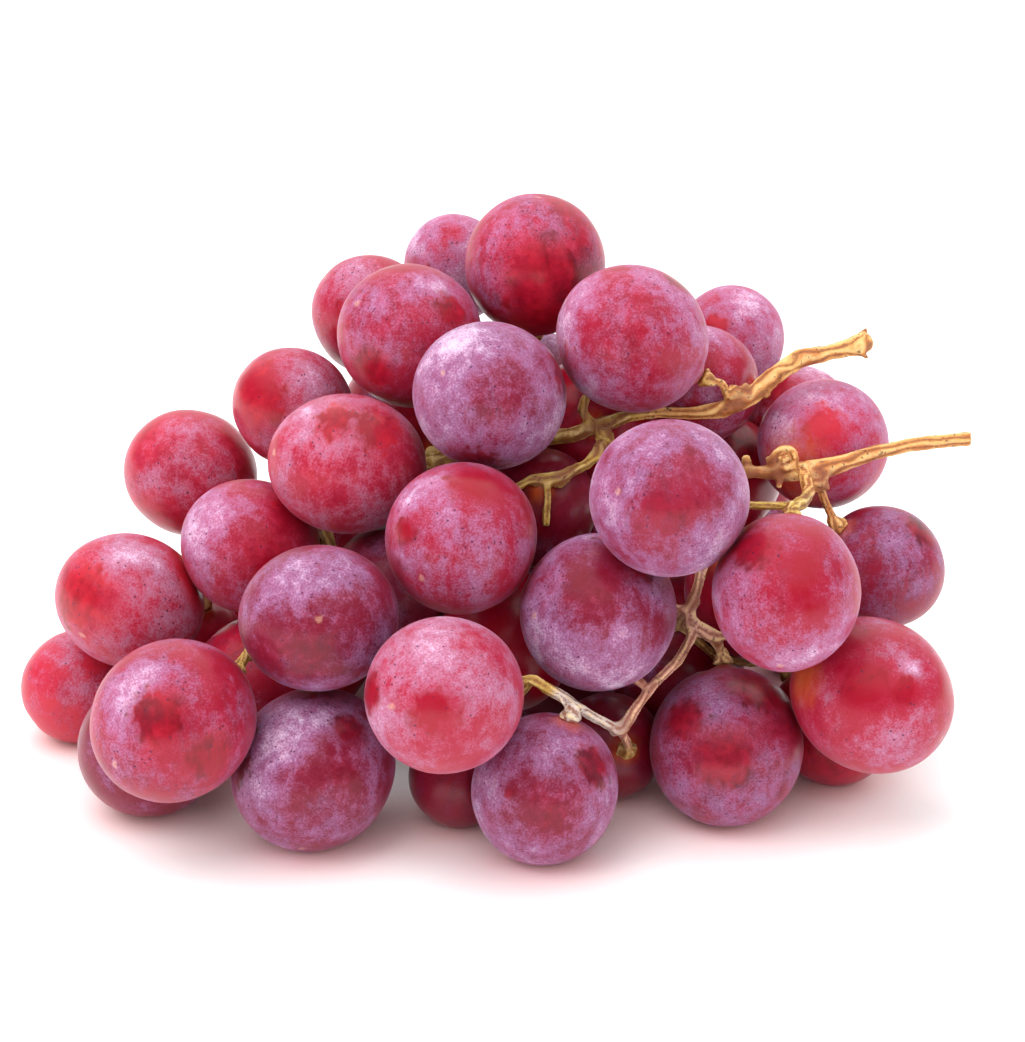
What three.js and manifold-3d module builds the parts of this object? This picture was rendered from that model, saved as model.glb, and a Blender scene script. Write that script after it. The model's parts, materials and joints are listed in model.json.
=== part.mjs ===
// A bunch of red table grapes lying on a table, in millimetres, +Z up, resting on z = 0.
// Every berry is one solid. The stem skeleton, which grew as one piece, is one more solid.
import * as THREE from "three";
import { mergeVertices } from "three/addons/utils/BufferGeometryUtils.js";
import Module from "manifold-3d";

const wasm = await Module();
wasm.setup();

// Driving dimensions of the berries: the gap between two that touch, how far they are pressed
// together, how deep the table flattens one, how much longer than wide a hidden one is, the pit at
// the stem end and the factor by which corners stand out so that facets keep the volume.
const TOUCH_GAP = 0.3;
const SQUEEZE = 0.8;
const TABLE_FLAT = 0.5;
const HIDDEN_LONGER = 1.07;
const PIT_DEPTH = 0.9;
const FACET_ROUNDING = 1.008;

// Driving dimensions of the stems. A laid stem is one whose course is given below, a grown one finds
// its own way, and a knot is where stems part.
const PEDICEL_RADIUS = 0.85;
const LATERAL_GROWTH = 0.28;
const LATERAL_MOST = 1.5;
const CUP_RADIUS = 2.1;
const CUP_HEIGHT = 2.8;
const STEM_CLEARANCE = 0.45;
const KNOT_LARGER = 1.3;
const NODE_SPACING = 2.6;
const LAID_SIDES = 7;
const GROWN_SIDES = 5;
const CUP_SIDES = 6;
const STEM_STEP = 5.5;
const TABLE_CLEARANCE = 0.5;
const BERRY_GUARD = 0.25;

// The bunch is laid out as a person sees it who looks down on it a little from the front.
// A place is given by how far it lies across, up and back in that view.
const LOOK_DOWN = THREE.MathUtils.degToRad(20);
const LOOK_FROM = 510;
const AIM_HEIGHT = 41.7;
const RIGHT = new THREE.Vector3(1, 0, 0);
const UP = new THREE.Vector3(0, Math.sin(LOOK_DOWN), Math.cos(LOOK_DOWN));
const BACK = new THREE.Vector3(0, Math.cos(LOOK_DOWN), -Math.sin(LOOK_DOWN));
const AIM = new THREE.Vector3(0, 0, AIM_HEIGHT);
const EYE = AIM.clone().addScaledVector(BACK, -LOOK_FROM);

function sighted(across, up, back) {
  const spread = 1 + back / LOOK_FROM;
  return AIM.clone()
    .addScaledVector(RIGHT, across * spread)
    .addScaledVector(UP, up * spread)
    .addScaledVector(BACK, back);
}

function sightedDirection(right, up, back) {
  return new THREE.Vector3()
    .addScaledVector(RIGHT, right)
    .addScaledVector(UP, up)
    .addScaledVector(BACK, back)
    .normalize();
}

const SKINS = {
  crimson: { color: 0xb23a58, roughness: 0.42, metalness: 0 },
  rose: { color: 0xcf4c58, roughness: 0.38, metalness: 0 },
  plum: { color: 0x7d3a62, roughness: 0.46, metalness: 0 },
};
const STEM_FINISH = { color: 0xb08a4a, roughness: 0.75, metalness: 0 };

// Berries that show from the front: across, up and back of the centre, width, length,
// the way the stem end points as right, up and back, and the skin.
const SEEN = [
  [4, 45, 5, 25, 25.5, 0.1, -0.7, 0.7, "crimson"],
  [-10, 44.5, 27, 19, 20, 0.3, -0.8, 0.3, "crimson"],
  [-24.5, 36, 18, 21.5, 23, 0.6, -0.6, 0.4, "rose"],
  [-18, 32.5, -3, 25, 26, 0.7, -0.4, 0.6, "crimson"],
  [-4, 22, -21, 25, 27, 0.7, -0.2, 0.7, "plum"],
  [21, 32, -15, 25, 26.5, 0.85, -0.45, 0.15, "crimson"],
  [38, 31.5, 25, 20, 21.5, -0.4, -0.6, 0.5, "crimson"],
  [33, 24, 5, 20.5, 22, 0.3, -0.5, 0.8, "crimson"],
  [54.5, 13.5, 5, 23, 24.5, -0.57, -0.22, -0.79, "crimson"],
  [65, -8, 0, 21, 22.5, -0.69, 0.59, -0.4, "plum"],
  [-38.5, 20, 10, 21, 22.5, 0.7, -0.5, 0.5, "rose"],
  [-29, 10, -13, 24, 27.5, 0.97, -0.1, 0.3, "rose"],
  [-56.5, 8.5, 20, 23, 24.5, 0.95, -0.3, -0.1, "rose"],
  [-46, -4.5, -4, 23.5, 25, 0.8, -0.3, 0.5, "crimson"],
  [-9, -3, -30, 25, 26, 0.5, 0.5, 0.7, "crimson"],
  [27.5, 4, -43, 25.5, 26.5, 0.64, -0.07, 0.77, "plum"],
  [-34, -17, -36, 24, 26.5, 0.9, 0.1, 0.4, "plum"],
  [-67, -14, -2, 23.5, 26.5, 0.9, -0.35, 0.2, "rose"],
  [-75.5, -29, 10, 20.5, 22, 0.9, 0.2, 0.3, "rose"],
  [-59.5, -35, -41, 26, 27.5, 0.75, 0.6, 0.3, "crimson"],
  [-63.5, -39.5, -18, 24, 25.5, 0.6, 0.3, 0.7, "plum"],
  [-35, -43.5, -31, 26.5, 28.5, 0.6, 0.6, 0.5, "plum"],
  [-12, -30.5, -50, 25, 26, 0.6, 0.1, 0.8, "rose"],
  [15, -16, -30, 26, 27, 0.2, 0.5, 0.8, "plum"],
  [48, -12.5, -41, 24, 26, 0.1, 0.9, 0.4, "crimson"],
  [37, -39.5, -21, 26, 27.5, 0.15, 0.85, 0.5, "plum"],
  [63, -30.5, -28, 25.5, 28, -0.75, 0.5, 0.4, "rose"],
  [5.5, -47, -35, 24, 25.5, 0.3, 0.88, -0.3, "plum"],
  [-9, -44.5, -20, 17.5, 18.5, 0.3, 0.7, 0.6, "plum"],
  [17.5, -39.5, -12, 18.5, 19.5, 0.45, -0.1, -0.85, "plum"],
  [56, -35.5, -6, 21, 22.5, -0.5, 0.6, 0.4, "crimson"],
];

// Berries inside and behind: x, y and z of the centre, width and skin.
const HIDDEN = [
  [-21, -8, 33, 21, "plum"],
  [4, -4, 46, 21, "plum"],
  [30, -6, 12, 23.5, "plum"],
  [-44, -12, 16, 23.5, "crimson"],
  [42, -10, 32, 23, "rose"],
  [14, 12, 56, 22.5, "crimson"],
  [38, 22, 43, 22.5, "crimson"],
  [48, 12, 24, 23, "plum"],
  [-1, -14, 25, 23.5, "crimson"],
  [-17, 8, 12, 23, "plum"],
  [8, 9, 12, 23.5, "plum"],
  [-40, 12, 12, 24, "crimson"],
  [-57, 16, 11, 22, "rose"],
  [31, 20, 12, 24, "crimson"],
  [-28, 36, 12, 24, "plum"],
  [-4, 34, 12, 24.5, "crimson"],
  [20, 42, 12, 23.5, "rose"],
  [-48, 37, 11, 22.5, "crimson"],
  [-30, 20, 32, 24, "rose"],
  [16, 24, 32, 24, "plum"],
  [-20, 35, 50, 23.5, "crimson"],
  [4, 33, 54, 24, "plum"],
  [27, 41, 47, 22.5, "crimson"],
  [-13, 44, 30, 23, "plum"],
  [9, 47, 31, 23, "crimson"],
  [52, 33, 50, 18.5, "rose"],
  [54, 31, 11, 22, "crimson"],
  [42, 40, 28, 22.5, "crimson"],
];

// Stems that are laid by hand, each after the stem that it leaves. A point is across, up, back and
// the radius there. The points run outwards, apart from the two stalks, which run from their cut ends.
const LAID_STEMS = [
  {
    name: "upper_stalk",
    points: [
      [61, 30.9, -3, 1.9],
      [55.7, 29.6, -3, 1.45],
      [50, 28.4, -4, 1.85],
      [45.2, 24.9, -4.5, 1.4],
      [40.8, 21.2, -5, 1.8],
      [33, 19.3, -5, 1.1],
      [22.4, 18.9, -4, 1.05],
      [15.4, 16.8, -6, 1.2],
    ],
  },
  {
    name: "upper_pedicel",
    from: "upper_stalk",
    points: [
      [39, 22.8, -7, 1.1],
      [36.8, 24.2, -10, 0.8],
    ],
  },
  {
    name: "rachis",
    from: "upper_stalk",
    points: [
      [6.5, 14, -5, 1.4],
      [-8, 11, 2, 1.5],
      [-20, 8.5, 8, 1.6],
      [-34, 5, 8, 1.5],
      [-46, 1.5, 10, 1.3],
      [-55, -4, 9, 1.1],
    ],
  },
  {
    name: "left_lateral",
    from: "rachis",
    points: [
      [-33, -3, 0, 1.3],
      [-33.5, -12, -10, 1.3],
      [-40, -19, -19, 1.2],
      [-46.5, -23.5, -26, 1.1],
    ],
  },
  {
    name: "inner_branch",
    from: "upper_stalk",
    points: [
      [15.3, 12, -12, 0.95],
      [8.5, 7.5, -15, 1],
      [3, 6.5, -15, 0.9],
    ],
  },
  {
    name: "inner_spur",
    from: "inner_branch",
    points: [
      [5.5, 3.5, -14, 0.75],
      [5, 0.5, -12, 0.7],
    ],
  },
  {
    name: "lower_stalk",
    from: "inner_branch",
    points: [
      [24, 10, -8, 1.2],
      [34, 8.2, -9, 1.1],
      [41, 8.6, -9, 1],
      [46.5, 8.6, -9, 1.2],
      [53, 8.8, -9.5, 1.6],
      [64.5, 12.3, -7, 1.3],
      [73, 13.8, -6, 1.2],
      [80.3, 14.5, -5, 1.4],
    ],
  },
  {
    name: "right_pedicel",
    from: "lower_stalk",
    points: [
      [52, 5, -19, 1.1],
      [50.3, 2.8, -30, 1],
    ],
  },
  {
    name: "front_lateral",
    from: "lower_stalk",
    points: [
      [34, -3, -14, 1],
      [33, -10, -18, 0.9],
      [31, -16, -21, 0.85],
      [31.3, -21.5, -25, 0.95],
      [24, -29.5, -29, 0.85],
      [19, -36.8, -32, 0.95],
    ],
  },
  {
    name: "front_twig",
    from: "front_lateral",
    points: [
      [13.5, -34, -34, 0.9],
      [9, -31, -35.5, 0.85],
      [3.5, -27.8, -36, 0.8],
    ],
  },
];

// Berries as ellipsoids

// How far the surface lies from the centre in a direction.
function towards(berry, direction) {
  const c = direction.dot(berry.axis);
  const long = berry.length / 2;
  const wide = berry.width / 2;
  return 1 / Math.sqrt((c * c) / (long * long) + (1 - c * c) / (wide * wide));
}

// How far the lowest point lies below the centre.
function reachDown(berry) {
  const long = berry.length / 2;
  const wide = berry.width / 2;
  return Math.sqrt(wide * wide + (long * long - wide * wide) * berry.axis.z ** 2);
}

// How far a point lies outside a berry, seen from the berry's centre.
function outside(berry, point) {
  const offset = point.clone().sub(berry.centre);
  const distance = offset.length();
  return distance - towards(berry, offset.divideScalar(distance));
}

const BUNCH_HEART = new THREE.Vector3(-4, 2, 40);
// A berry whose lowest point comes this low rests on the table.
const BEARING_REACH = 1.5;

const berries = [
  ...SEEN.map(([across, up, back, width, length, right, rise, away, skin]) => {
    const axis = sightedDirection(right, rise, away);
    return { centre: sighted(across, up, back), width, length, axis, wish: axis, skin, seen: true };
  }),
  ...HIDDEN.map(([x, y, z, width, skin]) => {
    const centre = new THREE.Vector3(x, y, z);
    const axis = BUNCH_HEART.clone().sub(centre).normalize();
    return { centre, width, length: width * HIDDEN_LONGER, axis, wish: axis, skin, seen: false };
  }),
];
for (const berry of berries) {
  berry.sight = berry.centre.clone().sub(EYE).normalize();
  berry.bears = berry.centre.z - reachDown(berry) < BEARING_REACH;
}

// A berry that shows moves along the line of sight, so that it keeps its place in the view.
const SIDEWAYS_SHARE = 0.12;
const SETTLING_ROUNDS = 600;

function shift(berry, push) {
  if (!berry.seen) {
    berry.centre.add(push);
    return;
  }
  const along = push.dot(berry.sight);
  const aside = push.clone().addScaledVector(berry.sight, -along);
  berry.centre.addScaledVector(berry.sight, along).addScaledVector(aside, SIDEWAYS_SHARE);
}

function keepOnTable(berry) {
  const low = berry.centre.z - reachDown(berry) + TABLE_FLAT;
  if (!berry.bears && low >= 0) return;
  if (berry.seen) berry.centre.addScaledVector(berry.sight, -low / berry.sight.z);
  else berry.centre.z -= low;
}

// Pushes berries apart that press too hard on each other, a little at a time.
function settle() {
  for (let round = 0; round < SETTLING_ROUNDS; round++) {
    for (let i = 0; i < berries.length; i++) {
      for (let j = i + 1; j < berries.length; j++) {
        const offset = berries[j].centre.clone().sub(berries[i].centre);
        const distance = offset.length();
        offset.divideScalar(distance);
        const room = distance - towards(berries[i], offset) - towards(berries[j], offset) + SQUEEZE;
        if (room >= 0) continue;
        shift(berries[i], offset.clone().multiplyScalar(room / 4));
        shift(berries[j], offset.clone().multiplyScalar(-room / 4));
      }
    }
    berries.forEach(keepOnTable);
  }
}
settle();

// The stem skeleton is a tree of nodes, each with a place, a parent and a radius.
// A run is one stem of it: the node that it leaves and its own nodes, outwards.

const skeleton = [];
const runs = [];
const laidNodes = {};

function addNode(place, parent, radius) {
  const node = { place, parent, radius, load: 0, laid: radius > 0 };
  skeleton.push(node);
  return node;
}

const CLEARING_ROUNDS = 12;

// Pushes a point out of every berry, so that a stem of that radius passes clear.
function clearOfBerries(point, radius) {
  for (let round = 0; round < CLEARING_ROUNDS; round++) {
    for (const berry of berries) {
      const short = radius + STEM_CLEARANCE - outside(berry, point);
      if (short > 0) point.addScaledVector(point.clone().sub(berry.centre).normalize(), short);
    }
  }
  return point;
}

function nearestNode(list, place) {
  return list.reduce((best, node) =>
    node.place.distanceTo(place) < best.place.distanceTo(place) ? node : best);
}

function layStem({ name, from, points }) {
  const places = points.map(([across, up, back]) => sighted(across, up, back));
  const radii = points.map((point) => point[3]);
  const joint = from ? nearestNode(laidNodes[from], places[0]) : null;
  let parent = joint;
  if (joint) {
    places.unshift(joint.place.clone());
    radii.unshift(radii[0]);
  }
  const curve = new THREE.CatmullRomCurve3(places);
  const count = Math.max(2, Math.round(curve.getLength() / NODE_SPACING));
  const made = [];
  for (let k = from ? 1 : 0; k <= count; k++) {
    const radius = radiusAlong(places, radii, k / count);
    const place = clearOfBerries(curve.getPointAt(k / count), radius);
    parent = addNode(place, parent, radius);
    made.push(parent);
  }
  laidNodes[name] = made;
  runs.push({ joint, nodes: made });
}
LAID_STEMS.forEach(layStem);

// The other stems grow through the free space between the berries, on a grid of small cells.

const CELL = 1.5;
const GRID_LOW = new THREE.Vector3(-96, -78, 0);
const GRID_COUNT = [120, 100, 68];
const cellCount = GRID_COUNT[0] * GRID_COUNT[1] * GRID_COUNT[2];
// Berries further from a cell than this have no say in how much room it has.
const EARSHOT = 20;
const room = new Float32Array(cellCount);

function cellAt(place) {
  const at = [place.x, place.y, place.z].map((value, axis) =>
    Math.round((value - GRID_LOW.getComponent(axis)) / CELL));
  return (at[2] * GRID_COUNT[1] + at[1]) * GRID_COUNT[0] + at[0];
}

function placeOf(cell) {
  const x = cell % GRID_COUNT[0];
  const y = Math.floor(cell / GRID_COUNT[0]) % GRID_COUNT[1];
  const z = Math.floor(cell / (GRID_COUNT[0] * GRID_COUNT[1]));
  return new THREE.Vector3(x, y, z).multiplyScalar(CELL).add(GRID_LOW);
}

for (let cell = 0; cell < cellCount; cell++) {
  const place = placeOf(cell);
  room[cell] = place.z - PEDICEL_RADIUS;
  for (const berry of berries)
    if (place.distanceToSquared(berry.centre) < EARSHOT ** 2)
      room[cell] = Math.min(room[cell], outside(berry, place));
}

const STEPS = [];
for (let x = -1; x <= 1; x++)
  for (let y = -1; y <= 1; y++)
    for (let z = -1; z <= 1; z++) {
      const jump = (z * GRID_COUNT[1] + y) * GRID_COUNT[0] + x;
      if (jump) STEPS.push({ jump, length: CELL * Math.hypot(x, y, z) });
    }

// A small heap that gives back the entry of least cost.
class Heap {
  entries = [];
  push(cost, cell) {
    const list = this.entries;
    let at = list.push({ cost, cell }) - 1;
    while (at > 0) {
      const above = (at - 1) >> 1;
      if (list[above].cost <= list[at].cost) break;
      [list[above], list[at]] = [list[at], list[above]];
      at = above;
    }
  }
  pop() {
    const list = this.entries;
    const top = list[0];
    const last = list.pop();
    if (!list.length) return top;
    list[0] = last;
    let at = 0;
    for (;;) {
      let least = 2 * at + 1;
      if (least >= list.length) break;
      if (least + 1 < list.length && list[least + 1].cost < list[least].cost) least++;
      if (list[at].cost <= list[least].cost) break;
      [list[at], list[least]] = [list[least], list[at]];
      at = least;
    }
    return top;
  }
}

// Directions spread evenly over a sphere, by the golden angle.
const DIRECTION_COUNT = 240;
const DIRECTIONS = Array.from({ length: DIRECTION_COUNT }, (_, k) => {
  const height = 1 - (2 * k + 1) / DIRECTION_COUNT;
  const turn = k * Math.PI * (3 - Math.sqrt(5));
  const ring = Math.sqrt(1 - height * height);
  return new THREE.Vector3(ring * Math.cos(turn), ring * Math.sin(turn), height);
});
// Costs of a way: a turn of the pole by one radian is worth so many millimetres, and a millimetre
// where there is less room than ROOMY counts so many times.
const TURN_COST = 14;
const TURN_MOST = 1.6;
const TIGHT_COST = 2;
const ROOMY = 2.4;
// The least room in which a stem still finds a way.
const PASSAGE = 1.2;
// A cup's rim is tried so far off the berry, with so much free round it, and the pedicel reaches
// the dock, which lies above the cup and well above the table.
const RIM_OFF = 0.5;
const RIM_ROOM = 0.3;
const DOCK_OFF = 0.4;
const DOCK_LOWEST = 2;
// Nodes keep this far from a dock.
const DOCK_SPACING = 2;

// The pole of each berry is the reachable direction nearest to the one that is wished for.
function growTo(berry) {
  const open = new Map();
  for (const node of skeleton)
    if (!node.nearCup) open.set(cellAt(node.place), node);
  const best = new Map();
  const back = new Map();
  const heap = new Heap();
  for (const direction of [berry.wish, ...DIRECTIONS]) {
    const turn = direction.angleTo(berry.wish);
    if (turn > TURN_MOST) continue;
    const surface = towards(berry, direction) + TOUCH_GAP;
    const rim = berry.centre.clone().addScaledVector(direction, surface + RIM_OFF);
    const dock = berry.centre.clone().addScaledVector(direction, surface + CUP_HEIGHT + DOCK_OFF);
    const blocked = berries.some((other) => other !== berry
      && (outside(other, rim) < CUP_RADIUS + RIM_ROOM
        || outside(other, dock) < PEDICEL_RADIUS + STEM_CLEARANCE));
    const cell = cellAt(dock);
    const cost = TURN_COST * turn;
    if (blocked || dock.z < DOCK_LOWEST || (best.has(cell) && best.get(cell) <= cost)) continue;
    best.set(cell, cost);
    back.set(cell, { dock, direction });
    heap.push(cost, cell);
  }
  while (heap.entries.length) {
    const { cost, cell } = heap.pop();
    if (cost > best.get(cell)) continue;
    if (open.has(cell)) return traced(berry, back, cell, open.get(cell));
    for (const { jump, length } of STEPS) {
      const next = cell + jump;
      const space = room[next];
      if (!(space > PASSAGE) && !open.has(next)) continue;
      const tight = space < ROOMY ? TIGHT_COST : 1;
      const total = cost + length * tight;
      if (best.has(next) && best.get(next) <= total) continue;
      best.set(next, total);
      back.set(next, { cell });
      heap.push(total, next);
    }
  }
  return false;
}

// No stem leaves another one this near to a dock.
const CUP_ZONE = 4.5;

// Follows the way found from the stem to the berry and lays a run along it.
function traced(berry, back, cell, joint) {
  const route = [];
  let at = cell;
  while (back.get(at).cell !== undefined) {
    at = back.get(at).cell;
    route.push(placeOf(at));
  }
  const { dock, direction } = back.get(at);
  berry.pole = direction;
  let parent = joint;
  const run = [];
  let last = joint.place;
  for (const place of route) {
    if (place.distanceTo(last) < NODE_SPACING || place.distanceTo(dock) < DOCK_SPACING) continue;
    parent = addNode(place, parent, 0);
    run.push(parent);
    last = place;
  }
  const end = addNode(dock, parent, 0);
  end.berry = berry;
  end.nearCup = true;
  run.push(end);
  for (const node of run)
    if (node.place.distanceTo(dock) < CUP_ZONE) node.nearCup = true;
  runs.push({ joint, nodes: run });
  return true;
}

function reachOf(berry) {
  return Math.min(...skeleton.map((node) => node.place.distanceTo(berry.centre)));
}

const waiting = [...berries];
while (waiting.length) {
  waiting.sort((a, b) => reachOf(a) - reachOf(b));
  const berry = waiting.shift();
  if (!growTo(berry)) throw new Error("no free way to a berry at height " + Math.round(berry.centre.z));
}

// Each stem is as thick as the number of berries that it carries asks for.
for (const node of skeleton)
  if (node.berry) for (let at = node; at; at = at.parent) at.load++;
for (const node of skeleton) {
  const grown = PEDICEL_RADIUS + LATERAL_GROWTH * Math.sqrt(node.load - 1);
  if (!node.laid) node.radius = Math.min(LATERAL_MOST, grown);
}

for (const node of skeleton) node.children = skeleton.filter((other) => other.parent === node);

const SMOOTHING_ROUNDS = 40;

function smoothSkeleton() {
  for (let round = 0; round < SMOOTHING_ROUNDS; round++)
    for (const node of skeleton) {
      if (node.laid || node.berry) continue;
      const around = [node.parent, ...node.children];
      const middle = new THREE.Vector3();
      for (const other of around) middle.add(other.place);
      node.place.lerp(middle.divideScalar(around.length), 0.5);
      for (const berry of berries) {
        const short = node.radius + STEM_CLEARANCE - outside(berry, node.place);
        if (short > 0) node.place.addScaledVector(node.place.clone().sub(berry.centre).normalize(), short);
      }
      node.place.z = Math.max(node.place.z, node.radius + TABLE_CLEARANCE);
    }
}
smoothSkeleton();

// Solids

const WELD = 1e-4;

function toSolid(geometry) {
  const bare = geometry.index ? geometry.toNonIndexed() : geometry.clone();
  bare.deleteAttribute("normal");
  bare.deleteAttribute("uv");
  const merged = mergeVertices(bare, WELD);
  return new wasm.Manifold(new wasm.Mesh({
    numProp: 3,
    vertProperties: new Float32Array(merged.attributes.position.array),
    triVerts: new Uint32Array(merged.index.array),
  }));
}

function toGeometry(solid) {
  const { vertProperties, triVerts, numProp } = solid.getMesh();
  const geometry = new THREE.BufferGeometry();
  const position = new THREE.InterleavedBufferAttribute(
    new THREE.InterleavedBuffer(vertProperties, numProp), 3, 0);
  const flat = new Float32Array(position.count * 3);
  for (let i = 0; i < position.count; i++)
    flat.set([position.getX(i), position.getY(i), position.getZ(i)], 3 * i);
  geometry.setAttribute("position", new THREE.BufferAttribute(flat, 3));
  geometry.setIndex(new THREE.BufferAttribute(triVerts, 1));
  geometry.computeVertexNormals();
  return geometry;
}

// Berries with less space than this between them count as neighbours.
const NEIGHBOUR_SPACE = 2;

// The planes at which a berry presses on its neighbours, each as a normal and a distance.
function contactPlanes(berry) {
  const planes = [];
  for (const other of berries) {
    const normal = other.centre.clone().sub(berry.centre);
    const distance = normal.length();
    normal.divideScalar(distance);
    const own = towards(berry, normal);
    const spare = distance - own - towards(other, normal);
    if (other !== berry && spare < NEIGHBOUR_SPACE)
      planes.push({ normal, limit: own + spare / 2 - TOUCH_GAP / 2 });
  }
  return planes;
}

const TABLE_SPAN = 400;
const TABLE_DEPTH = 40;
const tableBlock = toSolid(
  new THREE.BoxGeometry(TABLE_SPAN, TABLE_SPAN, TABLE_DEPTH).translate(0, 0, -TABLE_DEPTH / 2));
// Hidden berries deep inside the bunch have fewer facets.
const DEEP_INSIDE = 35;
const rounded = new THREE.IcosahedronGeometry(1, 2);
const roundedInside = new THREE.IcosahedronGeometry(1, 1);
const roundedPole = new THREE.Vector3().fromBufferAttribute(rounded.attributes.position, 0).normalize();
const POLE_ANGLE = 0.01;
const PRESSING_ROUNDS = 3;

function berryGeometry(berry) {
  const deep = !berry.seen && berry.centre.distanceTo(BUNCH_HEART) < DEEP_INSIDE;
  const geometry = (deep ? roundedInside : rounded).clone();
  const turn = new THREE.Quaternion().setFromUnitVectors(roundedPole, berry.pole);
  const planes = contactPlanes(berry);
  const position = geometry.attributes.position;
  const point = new THREE.Vector3();
  for (let i = 0; i < position.count; i++) {
    point.fromBufferAttribute(position, i).normalize().applyQuaternion(turn);
    const atPole = point.angleTo(berry.pole) < POLE_ANGLE;
    point.multiplyScalar(towards(berry, point) * FACET_ROUNDING - (atPole ? PIT_DEPTH : 0));
    for (let round = 0; round < PRESSING_ROUNDS; round++)
      for (const { normal, limit } of planes)
        point.addScaledVector(normal, -Math.max(0, point.dot(normal) - limit));
    point.add(berry.centre);
    position.setXYZ(i, point.x, point.y, point.z);
  }
  return berry.bears ? toGeometry(toSolid(geometry).subtract(tableBlock)) : geometry;
}

// A stem as a round section drawn along its curve, then narrowed or swelled ring by ring.
function stemSolid(curve, steps, places, radii, sides) {
  const outline = new THREE.Shape();
  for (let side = 0; side < sides; side++) {
    const turn = (2 * Math.PI * side) / sides;
    if (side) outline.lineTo(Math.cos(turn), Math.sin(turn));
    else outline.moveTo(1, 0);
  }
  const geometry = new THREE.ExtrudeGeometry(outline, { steps, bevelEnabled: false, extrudePath: curve });
  const rings = Array.from({ length: steps + 1 }, (_, k) => ({
    middle: curve.getPointAt(k / steps),
    along: curve.getTangentAt(k / steps),
    radius: radiusAlong(places, radii, k / steps),
  }));
  const position = geometry.attributes.position;
  const point = new THREE.Vector3();
  const offset = new THREE.Vector3();
  for (let i = 0; i < position.count; i++) {
    point.fromBufferAttribute(position, i);
    const miss = (ring) => {
      offset.copy(point).sub(ring.middle);
      return Math.abs(offset.length() - 1) + Math.abs(offset.dot(ring.along));
    };
    const ring = rings.reduce((best, other) => (miss(other) < miss(best) ? other : best));
    offset.copy(point).sub(ring.middle).multiplyScalar(ring.radius);
    point.copy(ring.middle).add(offset);
    position.setXYZ(i, point.x, point.y, point.z);
  }
  return toSolid(geometry);
}

function radiusAlong(places, radii, share) {
  const lengths = [0];
  for (let k = 1; k < places.length; k++)
    lengths.push(lengths[k - 1] + places[k].distanceTo(places[k - 1]));
  const at = share * lengths[lengths.length - 1];
  let k = 1;
  while (k < places.length - 1 && lengths[k] < at) k++;
  return THREE.MathUtils.mapLinear(at, lengths[k - 1], lengths[k], radii[k - 1], radii[k]);
}

function aboveBerry(berry, height) {
  return berry.centre.clone().addScaledVector(berry.pole, towards(berry, berry.pole) + height);
}

// The flared cup by which a pedicel holds its berry.
function cupSolid(berry) {
  const cup = new THREE.CylinderGeometry(PEDICEL_RADIUS, CUP_RADIUS, CUP_HEIGHT, CUP_SIDES);
  const middle = aboveBerry(berry, TOUCH_GAP + CUP_HEIGHT / 2);
  const turn = new THREE.Quaternion().setFromUnitVectors(new THREE.Vector3(0, 1, 0), berry.pole);
  return toSolid(cup.applyMatrix4(new THREE.Matrix4().compose(middle, turn, new THREE.Vector3(1, 1, 1))));
}

// A berry with a thin layer round it, from which every stem keeps away.
function berryClearance(berry) {
  const geometry = new THREE.IcosahedronGeometry(1, 3);
  const position = geometry.attributes.position;
  const point = new THREE.Vector3();
  for (let i = 0; i < position.count; i++) {
    point.fromBufferAttribute(position, i).normalize();
    point.multiplyScalar(towards(berry, point) + BERRY_GUARD).add(berry.centre);
    position.setXYZ(i, point.x, point.y, point.z);
  }
  return toSolid(geometry);
}

// The point on a stem's middle line that lies nearest, so that a branch starts inside the stem it leaves.
function nearestOnMiddle(middle, place) {
  const spans = middle.slice(1).map((end, k) =>
    new THREE.Line3(middle[k], end).closestPointToPoint(place, true, new THREE.Vector3()));
  return spans.reduce((best, point) => (point.distanceTo(place) < best.distanceTo(place) ? point : best));
}

function stemSkeleton() {
  let solid = null;
  for (const run of runs) for (const node of run.nodes) node.run = run;
  for (const run of runs) {
    const radii = run.nodes.map((node) => node.radius * (node.children.length > 1 ? KNOT_LARGER : 1));
    const places = run.nodes.map((node) => node.place);
    if (run.joint) {
      places.unshift(nearestOnMiddle(run.joint.run.middle, run.joint.place));
      radii.unshift(radii[0]);
    }
    const { berry } = run.nodes.at(-1);
    if (berry) {
      places.push(aboveBerry(berry, TOUCH_GAP + CUP_HEIGHT / 2));
      radii.push(PEDICEL_RADIUS);
    }
    const curve = new THREE.CatmullRomCurve3(places);
    const steps = Math.max(1, Math.round(curve.getLength() / STEM_STEP));
    run.middle = curve.getSpacedPoints(steps);
    const piece = stemSolid(curve, steps, places, radii, run.nodes[0].laid ? LAID_SIDES : GROWN_SIDES);
    solid = solid ? solid.add(piece) : piece;
  }
  for (const berry of berries) solid = solid.add(cupSolid(berry));
  for (const berry of berries) {
    const clearance = berryClearance(berry);
    if (solid.intersect(clearance).volume() > 0) solid = solid.subtract(clearance);
  }
  return solid;
}

const bunch = new THREE.Group();

function addPiece(name, geometry, finish) {
  const mesh = new THREE.Mesh(geometry, new THREE.MeshStandardMaterial(finish));
  mesh.name = name;
  bunch.add(mesh);
}

berries.forEach((berry, k) => {
  addPiece("berry_" + String(k + 1).padStart(2, "0"), berryGeometry(berry), SKINS[berry.skin]);
});
addPiece("stem", toGeometry(stemSkeleton()), STEM_FINISH);

// The origin is at the middle of the bunch's footprint, on the table.
const box = new THREE.Box3().setFromObject(bunch);
const middle = box.getCenter(new THREE.Vector3());
bunch.position.set(-middle.x, -middle.y, 0);

export default bunch;
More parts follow.
